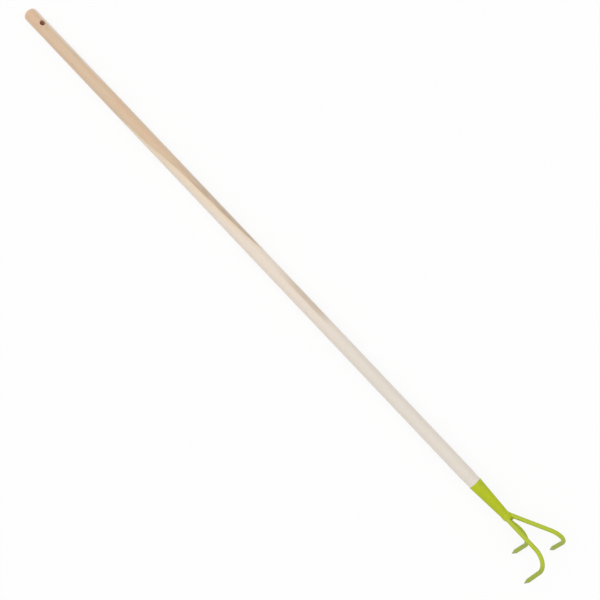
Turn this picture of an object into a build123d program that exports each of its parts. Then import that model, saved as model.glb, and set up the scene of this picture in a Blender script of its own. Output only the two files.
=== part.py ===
from build123d import *
import os
from math import acos, atan, atan2, cos, degrees, hypot, radians, sin, sqrt, tan

# A long handled cultivator claw: a round ash handle in a conical steel socket, with three bent steel tines.
# Lengths are in millimetres and angles in degrees.

# Handle
handle_length = 1300.0
handle_diameter = 28.0
handle_end_diameter = 27.3
end_taper_length = 600.0
end_rounding = 8.5
hang_hole_diameter = 10.0
hang_hole_chamfer = 0.8
hang_hole_from_end = 38.3
shoulder_taper_length = 14.0
shoulder_land_length = 9.0
shoulder_diameter = 26.4
nose_end_chamfer = 2.0
nose_end_gap = 7.0

# Socket
socket_length = 83.0
socket_mouth_diameter = 27.4
socket_neck_diameter = 17.0
socket_wall = 1.5
socket_fit = 0.1
rim_rounding = 0.5

# Fixing screw, from the back of the socket into the handle's nose
drill_turn = 10.0
screw_from_mouth = 12.0
screw_head_diameter = 6.5
screw_head_height = 1.8
screw_head_edge = 0.5
screw_recess_length = 3.0
screw_recess_width = 0.8
screw_recess_depth = 0.9
screw_shank_diameter = 3.5
screw_length = 17.0
screw_point_length = 4.0
screw_hole_clearance = 0.1

# Tines
rod_diameter = 8.4
root_set_back = 1.0
root_clearance = 0.6
side_splay = 16.9
side_lean_back = 22.6
side_twist = 5.2
side_straight = 84.9
side_first_radius = 31.9
side_first_turn = 35.9
side_between = 1.0
side_last_radius = 26.9
side_last_turn = 70.2
side_prong = 38.6
centre_lean_back = 16.8
centre_straight = 30.0
centre_first_radius = 34.0
centre_first_turn = 63.3
centre_between = 1.0
centre_last_radius = 20.9
centre_last_turn = 40.0
centre_prong = 36.7
tip_half_angle = 14.0
tip_rounding = 1.0

# Weld between the socket's neck and the tines
weld_plug_depth = 8.0
weld_length = 11.0
weld_bulge_length = 3.5
weld_bulge = 0.5
weld_end_diameter = 12.0
front_bead_back = 7.0
front_bead_top = 2.0
front_bead_height = 0.5
front_bead_length = 8.0
front_bead_end_radius = 2.0
root_gap = 2.0

# The tool's own frame starts at the hanging hole: x runs along the shaft to the head,
# y points the way the prongs do, and z points to the left tine.
nose_length = socket_length - weld_plug_depth - nose_end_gap
handle_end_x = -hang_hole_from_end
taper_end_x = handle_end_x + end_taper_length
mouth_x = handle_end_x + handle_length - nose_length
shoulder_end_x = mouth_x - shoulder_land_length
shoulder_x = shoulder_end_x - shoulder_taper_length
neck_x = mouth_x + socket_length
nose_end_x = mouth_x + nose_length
root_x = neck_x + root_gap
handle_radius = handle_diameter / 2
shoulder_radius = shoulder_diameter / 2
mouth_radius = socket_mouth_diameter / 2
neck_radius = socket_neck_diameter / 2
rod_radius = rod_diameter / 2
tip_ball_height = tip_rounding * cos(radians(tip_half_angle))
tip_cone_end_x = (rod_radius - tip_ball_height) / tan(radians(tip_half_angle))
tip_ball_x = tip_cone_end_x - tip_rounding * sin(radians(tip_half_angle))
socket_slope = (mouth_radius - neck_radius) / socket_length


def socket_radius(x):
    """The socket's outer radius at a place along the shaft."""
    return mouth_radius - (x - mouth_x) * socket_slope


def nose_radius(x):
    """The radius of the handle's nose at a place along the shaft, a fit inside the socket."""
    return socket_radius(x) - socket_wall - socket_fit


# At the neck the side tines lie side by side, and the centre tine lies in the valley in front of them.
side_root_y = -root_set_back
side_root_z = rod_radius
centre_root_y = side_root_y + sqrt(rod_diameter**2 - rod_radius**2) + root_clearance
left_root = Plane((neck_x, side_root_y, side_root_z)).rotated(
    (-side_splay, -side_lean_back, side_twist), ordering=Intrinsic.YZX
)
centre_root = Plane((neck_x, centre_root_y, 0)).rotated((0, 0, -centre_lean_back))


def side_tine_path(plane):
    """The centreline of a side tine: three straight runs joined by two bends towards the plane's y."""
    with BuildLine(plane) as path:
        run = Line((-rod_radius, 0), (side_straight, 0))
        first_bend = JernArc(run @ 1, run % 1, side_first_radius, side_first_turn)
        middle = PolarLine(first_bend @ 1, side_between, direction=first_bend % 1)
        last_bend = JernArc(middle @ 1, middle % 1, side_last_radius, side_last_turn)
        PolarLine(last_bend @ 1, side_prong, direction=last_bend % 1)
    return path.line


def centre_tine_path(plane):
    """The centreline of the centre tine, bent like a side tine but shorter."""
    with BuildLine(plane) as path:
        run = Line((-rod_radius, 0), (centre_straight, 0))
        first_bend = JernArc(run @ 1, run % 1, centre_first_radius, centre_first_turn)
        middle = PolarLine(first_bend @ 1, centre_between, direction=first_bend % 1)
        last_bend = JernArc(middle @ 1, middle % 1, centre_last_radius, centre_last_turn)
        PolarLine(last_bend @ 1, centre_prong, direction=last_bend % 1)
    return path.line


def tip_section(path, plane):
    """Half of a tine's tip in section: a cone that ends in a small ball."""
    with BuildSketch(Plane(path @ 1, x_dir=path % 1, z_dir=plane.z_dir)) as section:
        with BuildLine():
            cone = Line((0, rod_radius), (tip_cone_end_x, tip_ball_height))
            ball = TangentArc(cone @ 1, (tip_ball_x + tip_rounding, 0), tangent=cone % 1)
            Polyline(ball @ 1, (0, 0), cone @ 0)
        make_face()
    return section.sketch


def ball_centre(path):
    """The centre of the small ball that a tine's tip ends in."""
    return path @ 1 + (path % 1) * tip_ball_x


# The tool lies on the tip of its left tine, the tip of its centre tine and the end of its handle.
# floor_turn is how far the floor's direction is turned from y towards z, and shaft_slope how far
# the shaft rises from the handle's end to the head.
left_tip = ball_centre(side_tine_path(left_root))
centre_tip = ball_centre(centre_tine_path(centre_root))
end_radius = handle_end_diameter / 2
rest_radius = end_radius - tip_rounding
end_contact_x = handle_end_x + end_rounding
reach = centre_tip.X - end_contact_x
lean = 1 + (left_tip.X - centre_tip.X) / reach
drop_y = left_tip.Y - centre_tip.Y * lean
drop_z = left_tip.Z - centre_tip.Z * lean
floor_turn = degrees(atan2(drop_z, drop_y) - acos((1 - lean) * rest_radius / hypot(drop_y, drop_z)))
centre_depth = centre_tip.Y * cos(radians(floor_turn)) + centre_tip.Z * sin(radians(floor_turn))
shaft_slope = degrees(atan((centre_depth - rest_radius) / reach))
lying = Location((0, 0, 0), (-shaft_slope, -90 - floor_turn, 0), Intrinsic.YXZ)


def laid(plane):
    """A plane of the tool's own frame, moved to where it is when the tool lies on the floor."""
    return Plane(lying * plane.location)


middle_plane = laid(Plane.XY)
shaft_axis = Axis(middle_plane.origin, middle_plane.x_dir)

# The hanging hole and the screw are drilled from the back, a little round from the middle plane.
drilling = Plane.XY.rotated((90 + drill_turn, 0, 0))
hole_plane = laid(drilling)
screw_x = mouth_x + screw_from_mouth
screw_seat_height = socket_radius(screw_x - screw_head_diameter / 2)
screw_place = drilling.from_local_coords((screw_x, 0, screw_seat_height))
screw_seat = laid(Plane(screw_place, x_dir=drilling.x_dir, z_dir=drilling.z_dir))
screw_section = Plane(screw_seat.origin, x_dir=screw_seat.x_dir, z_dir=-screw_seat.y_dir)
screw_axis = Axis(screw_seat.origin, screw_seat.z_dir)
screw_hole_radius = screw_shank_diameter / 2 + screw_hole_clearance

# Handle
with BuildPart() as handle:
    with BuildSketch(middle_plane):
        with BuildLine():
            end_face = Line((handle_end_x, 0), (handle_end_x, end_radius - end_rounding))
            end_edge = TangentArc(end_face @ 1, (end_contact_x, end_radius), tangent=end_face % 1)
            Polyline(
                end_edge @ 1,
                (taper_end_x, handle_radius),
                (shoulder_x, handle_radius),
                (shoulder_end_x, shoulder_radius),
                (mouth_x, shoulder_radius),
                (mouth_x, nose_radius(mouth_x)),
                (nose_end_x - nose_end_chamfer, nose_radius(nose_end_x - nose_end_chamfer)),
                (nose_end_x, nose_radius(nose_end_x) - nose_end_chamfer),
                (nose_end_x, 0),
                end_face @ 0,
            )
        make_face()
    revolve(axis=shaft_axis)
    with BuildSketch(hole_plane):
        Circle(hang_hole_diameter / 2)
    extrude(amount=handle_diameter, both=True, mode=Mode.SUBTRACT)
    hole_rims = handle.edges(Select.LAST).filter_by(GeomType.BSPLINE)
    chamfer(hole_rims, hang_hole_chamfer)
    with BuildSketch(screw_seat):
        Circle(screw_hole_radius)
    extrude(amount=-screw_length - screw_hole_clearance, mode=Mode.SUBTRACT)
handle.part.label = "handle"

# Socket
with BuildPart() as socket:
    with BuildSketch(middle_plane) as socket_wall_section:
        Polygon(
            (mouth_x, mouth_radius - socket_wall),
            (mouth_x, mouth_radius),
            (neck_x, neck_radius),
            (neck_x, neck_radius - socket_wall),
            align=None,
        )
        fillet(socket_wall_section.vertices().group_by(Axis.X)[0], rim_rounding)
    revolve(axis=shaft_axis)
    with BuildSketch(screw_seat):
        Circle(screw_hole_radius)
    extrude(amount=-mouth_radius, mode=Mode.SUBTRACT)
socket.part.label = "socket"

# Fixing screw
with BuildPart() as fixing_screw:
    with BuildSketch(screw_section):
        with BuildLine():
            dome = TangentArc(
                (0, screw_head_height), (screw_head_diameter / 2, screw_head_edge), tangent=(1, 0)
            )
            Polyline(
                dome @ 1,
                (screw_head_diameter / 2, 0),
                (screw_shank_diameter / 2, 0),
                (screw_shank_diameter / 2, screw_point_length - screw_length),
                (0, -screw_length),
                dome @ 0,
            )
        make_face()
    revolve(axis=screw_axis)
    with BuildSketch(screw_seat.offset(screw_head_height)):
        Rectangle(screw_recess_length, screw_recess_width)
        Rectangle(screw_recess_width, screw_recess_length)
    extrude(amount=-screw_recess_depth, mode=Mode.SUBTRACT)
fixing_screw.part.label = "fixing_screw"

# Tines, cut flush a little in front of the socket's neck
root_plane = laid(Plane.YZ.offset(root_x))
left_plane = laid(left_root)
left_path = side_tine_path(left_plane)
centre_plane = laid(centre_root)
centre_path = centre_tine_path(centre_plane)

with BuildPart() as tine_left:
    with BuildSketch(Plane(left_path @ 0, z_dir=left_path % 0)):
        Circle(rod_radius)
    sweep(path=left_path)
    revolve(tip_section(left_path, left_plane), axis=Axis(left_path @ 1, left_path % 1))
    split(bisect_by=root_plane, keep=Keep.TOP)
tine_left.part.label = "tine_left"

with BuildPart() as tine_right:
    mirror(tine_left.part, about=middle_plane)
tine_right.part.label = "tine_right"

with BuildPart() as tine_centre:
    with BuildSketch(Plane(centre_path @ 0, z_dir=centre_path % 0)):
        Circle(rod_radius)
    sweep(path=centre_path)
    revolve(tip_section(centre_path, centre_plane), axis=Axis(centre_path @ 1, centre_path % 1))
    split(bisect_by=root_plane, keep=Keep.TOP)
tine_centre.part.label = "tine_centre"

# Neck weld: it plugs the socket's neck and fills the valleys between the tines' roots, and a bead of it
# in front holds the centre tine's root and runs up the outside of the socket
bead_axis = Axis(middle_plane.from_local_coords((neck_x, centre_root_y, 0)), middle_plane.x_dir)

with BuildPart() as neck_weld:
    with BuildSketch(middle_plane):
        with BuildLine():
            bead = ThreePointArc(
                (neck_x - front_bead_back, centre_root_y),
                (neck_x + front_bead_top, centre_root_y + rod_radius + front_bead_height),
                (neck_x + front_bead_length, centre_root_y + front_bead_end_radius),
            )
            Polyline(bead @ 1, (neck_x + front_bead_length, centre_root_y), bead @ 0)
        make_face()
    revolve(axis=bead_axis)
    add(socket.part, mode=Mode.SUBTRACT)
    with BuildSketch(middle_plane):
        with BuildLine():
            collar = ThreePointArc(
                (neck_x, neck_radius),
                (neck_x + weld_bulge_length, neck_radius + weld_bulge),
                (neck_x + weld_length, weld_end_diameter / 2),
            )
            Polyline(
                collar @ 1,
                (neck_x + weld_length, 0),
                (neck_x - weld_plug_depth, 0),
                (neck_x - weld_plug_depth, socket_radius(neck_x - weld_plug_depth) - socket_wall),
                (neck_x, neck_radius - socket_wall),
                collar @ 0,
            )
        make_face()
    revolve(axis=shaft_axis)
    add([tine_left.part, tine_right.part, tine_centre.part], mode=Mode.SUBTRACT)
neck_weld.part.label = "neck_weld"

os.makedirs("parts", exist_ok=True)
export_step(handle.part, "parts/handle.step")
export_step(socket.part, "parts/socket.step")
export_step(fixing_screw.part, "parts/fixing_screw.step")
export_step(tine_left.part, "parts/tine_left.step")
export_step(tine_right.part, "parts/tine_right.step")
export_step(tine_centre.part, "parts/tine_centre.step")
export_step(neck_weld.part, "parts/neck_weld.step")
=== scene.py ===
from math import atan2, cos, pi, radians, sin

import bmesh
import bpy
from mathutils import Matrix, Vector, noise

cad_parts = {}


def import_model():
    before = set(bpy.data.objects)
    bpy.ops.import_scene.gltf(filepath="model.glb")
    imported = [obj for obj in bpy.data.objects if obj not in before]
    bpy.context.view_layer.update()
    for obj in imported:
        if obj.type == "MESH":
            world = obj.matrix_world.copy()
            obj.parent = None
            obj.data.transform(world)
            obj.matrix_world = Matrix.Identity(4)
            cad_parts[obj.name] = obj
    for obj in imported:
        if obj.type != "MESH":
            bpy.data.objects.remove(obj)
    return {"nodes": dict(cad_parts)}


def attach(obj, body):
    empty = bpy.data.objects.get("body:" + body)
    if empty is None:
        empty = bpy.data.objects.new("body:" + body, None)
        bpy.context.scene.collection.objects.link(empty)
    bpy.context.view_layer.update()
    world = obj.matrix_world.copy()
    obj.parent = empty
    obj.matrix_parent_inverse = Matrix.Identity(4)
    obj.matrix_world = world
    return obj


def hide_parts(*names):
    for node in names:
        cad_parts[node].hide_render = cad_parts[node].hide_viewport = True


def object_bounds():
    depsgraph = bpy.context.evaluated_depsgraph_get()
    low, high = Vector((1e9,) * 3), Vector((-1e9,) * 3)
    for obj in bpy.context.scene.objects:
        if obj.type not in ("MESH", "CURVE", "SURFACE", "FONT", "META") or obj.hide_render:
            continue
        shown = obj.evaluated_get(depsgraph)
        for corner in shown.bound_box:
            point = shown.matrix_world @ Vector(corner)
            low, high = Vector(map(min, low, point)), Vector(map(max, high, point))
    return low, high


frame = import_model()
cad_low, cad_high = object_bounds()

MM = 0.001

# The tool lies on the floor with its shaft rising a little towards the head.
SHAFT_SLOPE = radians(1.8754)
SHAFT_AXIS = (cos(SHAFT_SLOPE), 0.0, sin(SHAFT_SLOPE))
FLOOR_MIDDLE = (0.7, 0.0, cad_low.z)
FLOOR_SIZE = 60.0

# Camera straight above the tool, with the shaft running from the upper left to the lower right.
CAMERA_PLACE = (0.71786, -0.0019, 2.575)
CAMERA_TURN = radians(46.532)
SENSOR_WIDTH = 36.0
LENS = 81.0

# Strength of the surroundings as light and as seen, and the share of plain white in the floor as seen.
SURROUNDINGS_LIGHT = 0.56
SURROUNDINGS_SEEN = 1.0
FLOOR_GLOW = 0.85

# Soft lamps, each with the direction that its light comes from, its strength and how wide it looks.
LAMPS = {
    "key": ((-0.35, -0.05, 1.0), 1.15, radians(45)),
    "top": ((0.0, 0.0, 1.0), 0.35, radians(90)),
}

# Colours as they look on screen.
WHITE = (255, 255, 255)
HEARTWOOD = (217, 192, 163)
HEARTWOOD_DUSKY = (207, 187, 165)
HEARTWOOD_WARM = (221, 187, 156)
HEARTWOOD_STREAK = (188, 155, 122)
HEARTWOOD_LINE = (160, 130, 100)
BORE = (196, 138, 92)
PEACH = (232, 211, 184)
SAPWOOD = (231, 217, 202)
SAPWOOD_LOW = (225, 216, 205)
SPECK = (112, 78, 52)
PAINT = (181, 193, 16)
PAINT_DEEP = (175, 188, 26)
# Painted highlight: a paler paint for the screw's domed head.
PAINT_PALE_HIGHLIGHT = (196, 205, 74)
PAINT_ROD = (177, 191, 50)
# Painted shade: a darker paint for the prongs, which turn down away from the lamps.
PAINT_PRONG_SHADE = (160, 174, 64)
WORN = (157, 159, 136)
FLOOR_TONE = (245, 245, 245)
SPECULAR_LEVEL = 0.25

# The heartwood's edge on the top of the shaft: a smooth curve over the first 700 mm, from one side
# of a 40 mm wide strip along the middle to the other.
EDGE_RUN = 700.0
EDGE_REACH = 20.0
EDGE = (
    (0.0, 0.0), (0.27, 0.02), (0.315, 0.14), (0.357, 0.235), (0.403, 0.275), (0.45, 0.345), (0.5, 0.415),
    (0.571, 0.52), (0.643, 0.572), (0.714, 0.635), (0.786, 0.705), (0.857, 0.86), (0.92, 1.0), (1.0, 1.0),
)

# Each tine's tip, and two points on the middle line of its straight root, in millimetres.
TIPS = {
    "tine_left": (1395.5, 16.7, -14.5),
    "tine_right": (1393.7, -62.2, 40.5),
    "tine_centre": (1350.6, -40.9, -14.4),
}
ROOTS = (
    ((1272.4, 2.2, 39.4), (1301.7, 16.9, 45.7)),
    ((1272.3, -2.9, 42.9), (1301.2, -2.9, 59.5)),
    ((1272.2, -4.6, 35.0), (1303.8, 0.9, 43.9)),
)
ROD_RADIUS = 4.2

# The weld round the neck: its middle, its laps up the rods, its collar over the socket's end, and its
# webs in the two valleys between the centre tine and the side tines. Each profile is a list of a
# distance and a radius, in millimetres, and a lap's radius is how far it stands proud of the rod.
NECK_X = 1276.7
NECK_Z = 41.8
LAP = ((2.0, 0.5), (8.0, 0.45), (11.0, 0.35), (12.6, 0.1), (13.4, -0.4))
COLLAR = ((-3.2, 8.3), (-2.2, 8.8), (-0.8, 9.0), (0.8, 9.05), (2.2, 8.8), (3.6, 8.4))
WEB = ((0.0, 3.4), (4.0, 3.2), (7.5, 2.6), (9.6, 1.7), (10.6, 0.6))
WEB_LINES = (((1282.0, 2.8, 40.2), (1292.5, 5.6, 41.4)), ((1282.0, -2.7, 44.2), (1292.5, -2.1, 47.6)))
WELD_VOXEL = 0.4 * MM
WELD_SMOOTHINGS = 4
RIPPLE_PITCH = 1.7
RIPPLE_HEIGHT = 0.1 * MM
LUMP_HEIGHT = 0.18 * MM


def linear(colour):
    """A screen colour of three 0 to 255 values as linear red, green, blue and alpha, by the sRGB curve."""
    shares = [c / 255 for c in colour]
    return tuple(c / 12.92 if c <= 0.04045 else ((c + 0.055) / 1.055) ** 2.4 for c in shares) + (1.0,)


class Graph:
    """The node tree of a material or a world, with short ways to add nodes."""

    def __init__(self, owner, output="ShaderNodeOutputMaterial"):
        owner.use_nodes = True
        self.owner = owner
        self.tree = owner.node_tree
        self.tree.nodes.clear()
        self.output = self.tree.nodes.new(output)

    def add(self, kind, inputs=None, **settings):
        """A new node. Each input is a socket to link from or a value to set."""
        node = self.tree.nodes.new(kind)
        for name, value in settings.items():
            setattr(node, name, value)
        for key, value in (inputs or {}).items():
            if isinstance(value, bpy.types.NodeSocket):
                self.tree.links.new(value, node.inputs[key])
            else:
                node.inputs[key].default_value = value
        return node

    def math(self, operation, a, b=0.0, c=0.0, clamp=False):
        """The result of a maths node."""
        node = self.add("ShaderNodeMath", {0: a, 1: b, 2: c}, operation=operation, use_clamp=clamp)
        return node.outputs[0]

    def product(self, *shares):
        """Several shares multiplied together."""
        result = shares[0]
        for share in shares[1:]:
            result = self.math("MULTIPLY", result, share)
        return result

    def length(self, a, b):
        """The length of a vector with two parts."""
        squares = self.math("ADD", self.math("MULTIPLY", a, a), self.math("MULTIPLY", b, b))
        return self.math("SQRT", squares)

    def step(self, value, low, high):
        """A smooth change from 0 at low to 1 at high, which may be the smaller one."""
        inputs = {"Value": value, "From Min": min(low, high), "From Max": max(low, high)}
        if low > high:
            inputs.update({"To Min": 1.0, "To Max": 0.0})
        return self.add("ShaderNodeMapRange", inputs, interpolation_type="SMOOTHSTEP").outputs["Result"]

    def stretched(self, vector, scale):
        """A vector with each of its axes scaled."""
        return self.add("ShaderNodeVectorMath", {0: vector, 1: scale}, operation="MULTIPLY").outputs[0]

    def noise(self, vector, scale, detail=2.0, roughness=0.5):
        """A noise from 0 to 1."""
        inputs = {"Vector": vector, "Scale": scale, "Detail": detail, "Roughness": roughness}
        return self.add("ShaderNodeTexNoise", inputs).outputs["Fac"]

    def wander(self, value, noise_share, width):
        """A value moved up and down by a noise, over a width."""
        return self.math("MULTIPLY_ADD", self.math("SUBTRACT", noise_share, 0.5), width, value)

    def mix(self, factor, a, b):
        """A mix of two colours."""
        return self.add("ShaderNodeMix", {0: factor, 6: a, 7: b}, data_type="RGBA").outputs[2]

    def tint(self, colour, mask, tone, share=None):
        """A colour with a screen colour mixed in where a mask is 1, or a share of it."""
        factor = mask if share is None else self.product(mask, share)
        return self.mix(factor, colour, linear(tone))

    def curve(self, value, points):
        """A smooth curve through points whose two values run from 0 to 1."""
        node = self.add("ShaderNodeFloatCurve", {"Value": value})
        line = node.mapping.curves[0]
        for place, height in points[1:-1]:
            line.points.new(place, height)
        line.points[0].location = points[0]
        line.points[-1].location = points[-1]
        node.mapping.update()
        return node.outputs[0]

    def seen(self):
        """1 where the camera looks, straight or by a reflection or through glass, and otherwise 0."""
        path = self.add("ShaderNodeLightPath").outputs
        straight = self.math("MAXIMUM", path["Is Camera Ray"], path["Is Glossy Ray"])
        return self.math("MAXIMUM", straight, path["Is Transmission Ray"])

    def bump(self, height, distance, strength):
        """A bump of a height from 0 to 1, over a distance in metres."""
        inputs = {"Height": height, "Distance": distance, "Strength": strength}
        return self.add("ShaderNodeBump", inputs).outputs["Normal"]

    def surface(self, shader):
        """Makes a shader node the surface."""
        self.tree.links.new(shader.outputs[0], self.output.inputs["Surface"])

    def finish(self, **inputs):
        """Adds the surface shader, whose inputs are named with underscores for spaces."""
        values = {name.replace("_", " "): value for name, value in inputs.items()}
        self.surface(self.add("ShaderNodeBsdfPrincipled", values))
        return self.owner


def shaft_coordinates(graph):
    """Millimetres from the hanging hole's centre: x along the shaft, y across it and z up."""
    place = graph.add("ShaderNodeTexCoord").outputs["Object"]
    inputs = {"Vector": place, "Rotation": (0.0, SHAFT_SLOPE, 0.0), "Scale": (1 / MM,) * 3}
    return graph.add("ShaderNodeMapping", inputs).outputs[0]


def grain(graph, place, along, across, detail=2.0, roughness=0.5):
    """A noise drawn out along the shaft, with its waves per millimetre along and across it."""
    return graph.noise(graph.stretched(place, (along, across, across)), 1.0, detail, roughness)


def wood():
    """Ash, with pinkish tan heartwood that runs out along the shaft into pale sapwood."""
    graph = Graph(bpy.data.materials.new("ash_wood"))
    place = shaft_coordinates(graph)
    x, y, z = graph.add("ShaderNodeSeparateXYZ", {0: place}).outputs
    slow = grain(graph, place, along=0.012, across=0.05)
    fine = grain(graph, place, along=0.02, across=1.1, detail=3.0, roughness=0.6)
    broad = grain(graph, place, along=0.006, across=0.12)
    blotch = grain(graph, place, along=0.016, across=0.09)
    streaks = grain(graph, place, along=0.022, across=0.75, roughness=0.6)
    pores = grain(graph, place, along=0.12, across=3.2, detail=1.0)

    # Growth rings round a pith that lies beside the shaft and below its middle.
    ring_radius = 62.0
    ring_period = 2.6
    pith_beside = 59.0
    pith_below = 6.0
    edge_share = graph.curve(graph.math("DIVIDE", x, EDGE_RUN, clamp=True), EDGE)
    edge_y = graph.math("MULTIPLY_ADD", edge_share, 2 * EDGE_REACH, -EDGE_REACH)
    across = graph.math("SUBTRACT", graph.math("SUBTRACT", y, edge_y), pith_beside)
    distance = graph.length(across, graph.math("ADD", z, pith_below))
    ring = graph.wander(distance, slow, width=5.0)
    past_edge = graph.wander(graph.math("SUBTRACT", ring, ring_radius), fine, width=4.0)
    wave = graph.math("SINE", graph.math("MULTIPLY", ring, 2 * pi / ring_period))
    late = graph.step(wave, -0.2, 1.0)

    # Heartwood, warm at the top end and in blotches, and duskier before it runs out.
    top_end = graph.step(x, 45.0, -20.0)
    blotches = graph.product(graph.step(blotch, 0.42, 0.62), 0.75)
    running_out = graph.step(x, 330.0, 480.0)
    broad_streak = graph.step(broad, 0.5, 0.72)
    heart = graph.tint(linear(HEARTWOOD), graph.math("MAXIMUM", top_end, blotches), HEARTWOOD_WARM)
    heart = graph.tint(heart, running_out, HEARTWOOD_DUSKY)
    heart = graph.tint(heart, late, HEARTWOOD_STREAK, share=0.26)
    heart = graph.tint(heart, broad_streak, HEARTWOOD_STREAK, share=0.2)

    # Dark streaks along the heartwood's edge where it runs out.
    streak_run = graph.product(graph.step(x, 300.0, 420.0), graph.step(x, 640.0, 560.0))
    streak_band = graph.product(graph.step(past_edge, -15.0, -7.0), graph.step(past_edge, 1.0, -1.5))
    streak_line = graph.step(streaks, 0.5, 0.62)
    streak = graph.product(streak_run, streak_band, streak_line)
    heart = graph.tint(heart, streak, HEARTWOOD_LINE, share=0.55)

    # Sapwood, peach beside the heartwood and greyer towards the head.
    towards_head = graph.step(x, 600.0, 950.0)
    beside_heart = graph.product(graph.step(past_edge, 13.0, 0.0), graph.step(x, 640.0, 520.0))
    in_sap = graph.step(past_edge, -1.6, 1.6)
    sap = graph.tint(linear(SAPWOOD), towards_head, SAPWOOD_LOW)
    sap = graph.tint(sap, beside_heart, PEACH)
    sap = graph.tint(sap, late, PEACH, share=0.14)
    colour = graph.mix(in_sap, heart, sap)

    # A last patch of heartwood on the far side, beyond the edge.
    patch_run = graph.product(graph.step(x, 630.0, 715.0), graph.step(x, 800.0, 752.0))
    patch_side = graph.step(graph.wander(y, fine, width=6.0), 2.2, 6.0)
    patch_top = graph.step(z, -6.0, 0.0)
    patch = graph.product(patch_run, patch_side, patch_top)
    colour = graph.tint(colour, patch, HEARTWOOD_DUSKY, share=0.85)

    # Pores, and a few dark pin knots near the top end.
    pore = graph.step(pores, 0.64, 0.74)
    colour = graph.tint(colour, pore, SPECK, share=0.16)
    cell_place = graph.stretched(place, (0.045, 0.09, 0.09))
    cells = graph.add("ShaderNodeTexVoronoi", {"Vector": cell_place, "Scale": 1.0})
    knot_spot = graph.step(cells.outputs["Distance"], 0.13, 0.05)
    knot_run = graph.step(x, 110.0, 60.0)
    colour = graph.tint(colour, graph.product(knot_spot, knot_run), SPECK, share=0.7)

    # A bleached strip along the far side near the top end.
    strip_side = graph.step(graph.wander(y, blotch, width=10.0), 8.0, 12.0)
    strip_run = graph.step(x, 190.0, 120.0)
    strip_top = graph.step(z, -4.0, 2.0)
    bleached = graph.product(strip_side, strip_run, strip_top)
    colour = graph.tint(colour, bleached, SAPWOOD, share=0.7)

    # End grain on the rounded end.
    normal = graph.add("ShaderNodeTexCoord").outputs["Normal"]
    facing = graph.add("ShaderNodeVectorMath", {0: normal, 1: SHAFT_AXIS}, operation="DOT_PRODUCT")
    end = graph.step(graph.math("ABSOLUTE", facing.outputs["Value"]), 0.6, 0.97)
    end_rings = graph.math("MULTIPLY_ADD", late, 0.35, 0.25)
    colour = graph.tint(colour, graph.product(end, end_rings), HEARTWOOD_STREAK)

    # The darker wall of the bore, which leans to the far side.
    tilt = radians(24.9)
    off_bore = graph.math("SUBTRACT", graph.product(y, cos(tilt)), graph.product(z, sin(tilt)))
    in_bore = graph.step(graph.length(x, off_bore), 6.2, 5.6)
    colour = graph.tint(colour, in_bore, BORE, share=0.85)

    height = graph.math("MULTIPLY_ADD", pore, -1.0, graph.math("MULTIPLY_ADD", late, 0.4, fine))
    return graph.finish(
        Base_Color=colour,
        Roughness=graph.math("MULTIPLY_ADD", fine, 0.15, 0.52),
        Normal=graph.bump(height, distance=0.1 * MM, strength=0.6),
        Specular_IOR_Level=SPECULAR_LEVEL,
        Sheen_Weight=0.6,
        Sheen_Roughness=0.5,
    )


def powder_coat(graph, place):
    """The orange peel of a powder coat, where its tone is deeper, and its roughness."""
    peel = graph.noise(place, 0.9)
    deeper = graph.step(graph.noise(place, 0.06, detail=3.0), 0.35, 0.7)
    return peel, deeper, graph.math("MULTIPLY_ADD", peel, 0.08, 0.36)


def finish_paint(graph, colour, roughness, height):
    """The finished material of a painted piece."""
    return graph.finish(
        Base_Color=colour,
        Roughness=roughness,
        Normal=graph.bump(height, distance=0.12 * MM, strength=0.8),
        Specular_IOR_Level=SPECULAR_LEVEL,
    )


def paint(name, tone):
    """Lime powder coat with a fine orange peel."""
    graph = Graph(bpy.data.materials.new(name))
    peel, deeper, roughness = powder_coat(graph, shaft_coordinates(graph))
    return finish_paint(graph, graph.tint(linear(tone), deeper, PAINT_DEEP), roughness, peel)


def tine_paint(name, tip):
    """The powder coat of a tine, with painted shade on its prong, and scuffed through to grey steel near
    its tip.
    """
    graph = Graph(bpy.data.materials.new(name))
    place = shaft_coordinates(graph)
    peel, deeper, roughness = powder_coat(graph, place)
    here = graph.stretched(graph.add("ShaderNodeTexCoord").outputs["Object"], (1 / MM,) * 3)
    away = graph.add("ShaderNodeVectorMath", {0: here, 1: tip}, operation="DISTANCE").outputs["Value"]
    scuffs = graph.noise(place, 0.55, detail=4.0, roughness=0.7)
    near_tip = graph.step(graph.wander(away, scuffs, width=26.0), 17.0, 3.0)
    worn = graph.product(near_tip, 0.85)
    # Painted shade: the prong, from about 58 to 78 mm back from the tip, gets a darker paint tone where it
    # turns away from the lamps.
    prong_shade = graph.step(away, 78.0, 58.0)
    colour = graph.tint(linear(PAINT_ROD), prong_shade, PAINT_PRONG_SHADE)
    colour = graph.tint(colour, deeper, PAINT_DEEP, share=0.3)
    colour = graph.tint(colour, worn, WORN)
    roughness = graph.math("MULTIPLY_ADD", worn, 0.15, roughness)
    return finish_paint(graph, colour, roughness, graph.math("MULTIPLY_ADD", worn, -0.8, peel))


def line(start, end):
    """The start and the direction of a line between two points in millimetres."""
    start, end = Vector(start) * MM, Vector(end) * MM
    return start, (end - start).normalized()


def lathe(mesh, start, direction, profile):
    """Adds a closed round solid whose profile is a list of a distance and a radius, in millimetres."""
    side = direction.orthogonal().normalized()
    other = direction.cross(side)
    count = 32
    turns = [2 * pi * i / count for i in range(count)]
    rings = []
    for distance, radius in profile:
        centre = start + direction * (distance * MM)
        spokes = [(side * cos(turn) + other * sin(turn)) * (radius * MM) for turn in turns]
        rings.append([mesh.verts.new(centre + spoke) for spoke in spokes])
    for near, far in zip(rings, rings[1:]):
        for i in range(count):
            j = (i + 1) % count
            mesh.faces.new((near[i], near[j], far[j], far[i]))
    mesh.faces.new(rings[0][::-1])
    mesh.faces.new(rings[-1])


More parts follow.
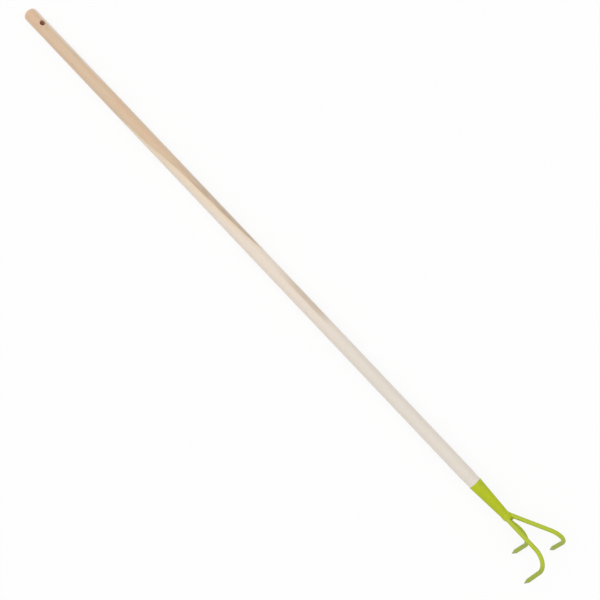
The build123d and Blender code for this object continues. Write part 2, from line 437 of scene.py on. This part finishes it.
def weld_solid():
    """The neck weld with its laps, collar and webs, as one closed mesh of even small faces."""
    shaft = Vector(SHAFT_AXIS)
    mesh = bmesh.new()
    mesh.from_mesh(frame["nodes"]["neck_weld"].data)
    for start, end in ROOTS:
        lathe(mesh, *line(start, end), [(distance, ROD_RADIUS + proud) for distance, proud in LAP])
    lathe(mesh, shaft * NECK_X * MM, shaft, COLLAR)
    for start, end in WEB_LINES:
        lathe(mesh, *line(start, end), WEB)
    bmesh.ops.remove_doubles(mesh, verts=mesh.verts, dist=0.001 * MM)
    rough = bpy.data.objects.new("weld_rough", bpy.data.meshes.new("weld_rough"))
    mesh.to_mesh(rough.data)
    mesh.free()
    bpy.context.collection.objects.link(rough)
    remesh = rough.modifiers.new("voxels", "REMESH")
    remesh.mode = "VOXEL"
    remesh.voxel_size = WELD_VOXEL
    solid = bpy.data.meshes.new_from_object(rough.evaluated_get(bpy.context.evaluated_depsgraph_get()))
    bpy.data.objects.remove(rough)
    return solid


def weld_move(place):
    """How far a point of the weld moves out, for the ripples that wind round the neck and for lumps."""
    point = place / MM
    x, y, z = point
    round_neck = 7.0
    along_shaft = 0.9
    waver = 1.5 * noise.noise(point * 0.3)
    swirl = atan2(z - NECK_Z, y) * round_neck + x * along_shaft + waver
    ripple = sin(2 * pi * swirl / RIPPLE_PITCH)
    lump = noise.noise(point * 0.55)
    return ripple * RIPPLE_HEIGHT + lump * LUMP_HEIGHT


def weld_bead(material):
    """The neck weld as one rippled bead that laps over the socket's end and a little way up each rod."""
    solid = weld_solid()
    mesh = bmesh.new()
    mesh.from_mesh(solid)
    for _ in range(WELD_SMOOTHINGS):
        bmesh.ops.smooth_vert(
            mesh, verts=mesh.verts, factor=0.5, use_axis_x=True, use_axis_y=True, use_axis_z=True
        )
    mesh.normal_update()
    for vertex, move in [(vertex, weld_move(vertex.co)) for vertex in mesh.verts]:
        vertex.co += vertex.normal * move
    for face in mesh.faces:
        face.smooth = True
    mesh.to_mesh(solid)
    mesh.free()
    solid.materials.clear()
    solid.materials.append(material)
    bead = bpy.data.objects.new("weld_bead", solid)
    bpy.context.collection.objects.link(bead)
    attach(bead, "root")
    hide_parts("neck_weld")


def floor():
    """A wide pale floor."""
    bpy.ops.mesh.primitive_plane_add(size=FLOOR_SIZE, location=FLOOR_MIDDLE)
    plane = bpy.context.object
    plane.name = "floor"
    graph = Graph(bpy.data.materials.new("floor"))
    diffuse = graph.add("ShaderNodeBsdfDiffuse", {"Color": linear(FLOOR_TONE)})
    glow = graph.add("ShaderNodeEmission", {"Color": linear(WHITE), "Strength": 1.0})
    share = graph.product(graph.seen(), FLOOR_GLOW)
    graph.surface(graph.add("ShaderNodeMixShader", {0: share, 1: diffuse.outputs[0], 2: glow.outputs[0]}))
    plane.data.materials.append(graph.owner)


def world():
    """Even studio surroundings, seen as plain white."""
    studio = bpy.data.worlds.new("studio")
    bpy.context.scene.world = studio
    graph = Graph(studio, "ShaderNodeOutputWorld")
    ends = {"To Min": SURROUNDINGS_LIGHT, "To Max": SURROUNDINGS_SEEN}
    strength = graph.add("ShaderNodeMapRange", {"Value": graph.seen(), **ends}).outputs["Result"]
    graph.surface(graph.add("ShaderNodeBackground", {"Color": linear(WHITE), "Strength": strength}))


def sun(name, towards, strength, angle):
    """A soft lamp whose light comes from a direction."""
    data = bpy.data.lights.new(name, "SUN")
    data.energy = strength
    data.angle = angle
    lamp = bpy.data.objects.new(name, data)
    bpy.context.collection.objects.link(lamp)
    lamp.rotation_mode = "QUATERNION"
    lamp.rotation_quaternion = Vector(towards).to_track_quat("Z", "Y")


def camera():
    """The camera of the main view."""
    data = bpy.data.cameras.new("camera")
    data.sensor_width = SENSOR_WIDTH
    data.lens = LENS
    eye = bpy.data.objects.new("camera", data)
    bpy.context.collection.objects.link(eye)
    eye.location = CAMERA_PLACE
    eye.rotation_euler = (0.0, 0.0, CAMERA_TURN)
    bpy.context.scene.camera = eye


def dress(node, material):
    """Gives a carried-over node its material."""
    piece = frame["nodes"][node]
    for slot in piece.material_slots:
        slot.material = material
    if not piece.material_slots:
        piece.data.materials.append(material)


camera()
world()
floor()
for lamp, (towards, strength, angle) in LAMPS.items():
    sun(lamp, towards, strength, angle)
dress("handle", wood())
green = paint("lime_paint", PAINT)
dress("socket", green)
# The screw's paint is paler than the socket's, a painted highlight on its domed head.
dress("fixing_screw", paint("screw_paint", PAINT_PALE_HIGHLIGHT))
for tine, tip in TIPS.items():
    dress(tine, tine_paint("lime_paint_" + tine, tip))
weld_bead(green)

bpy.context.scene.view_settings.view_transform = "Standard"
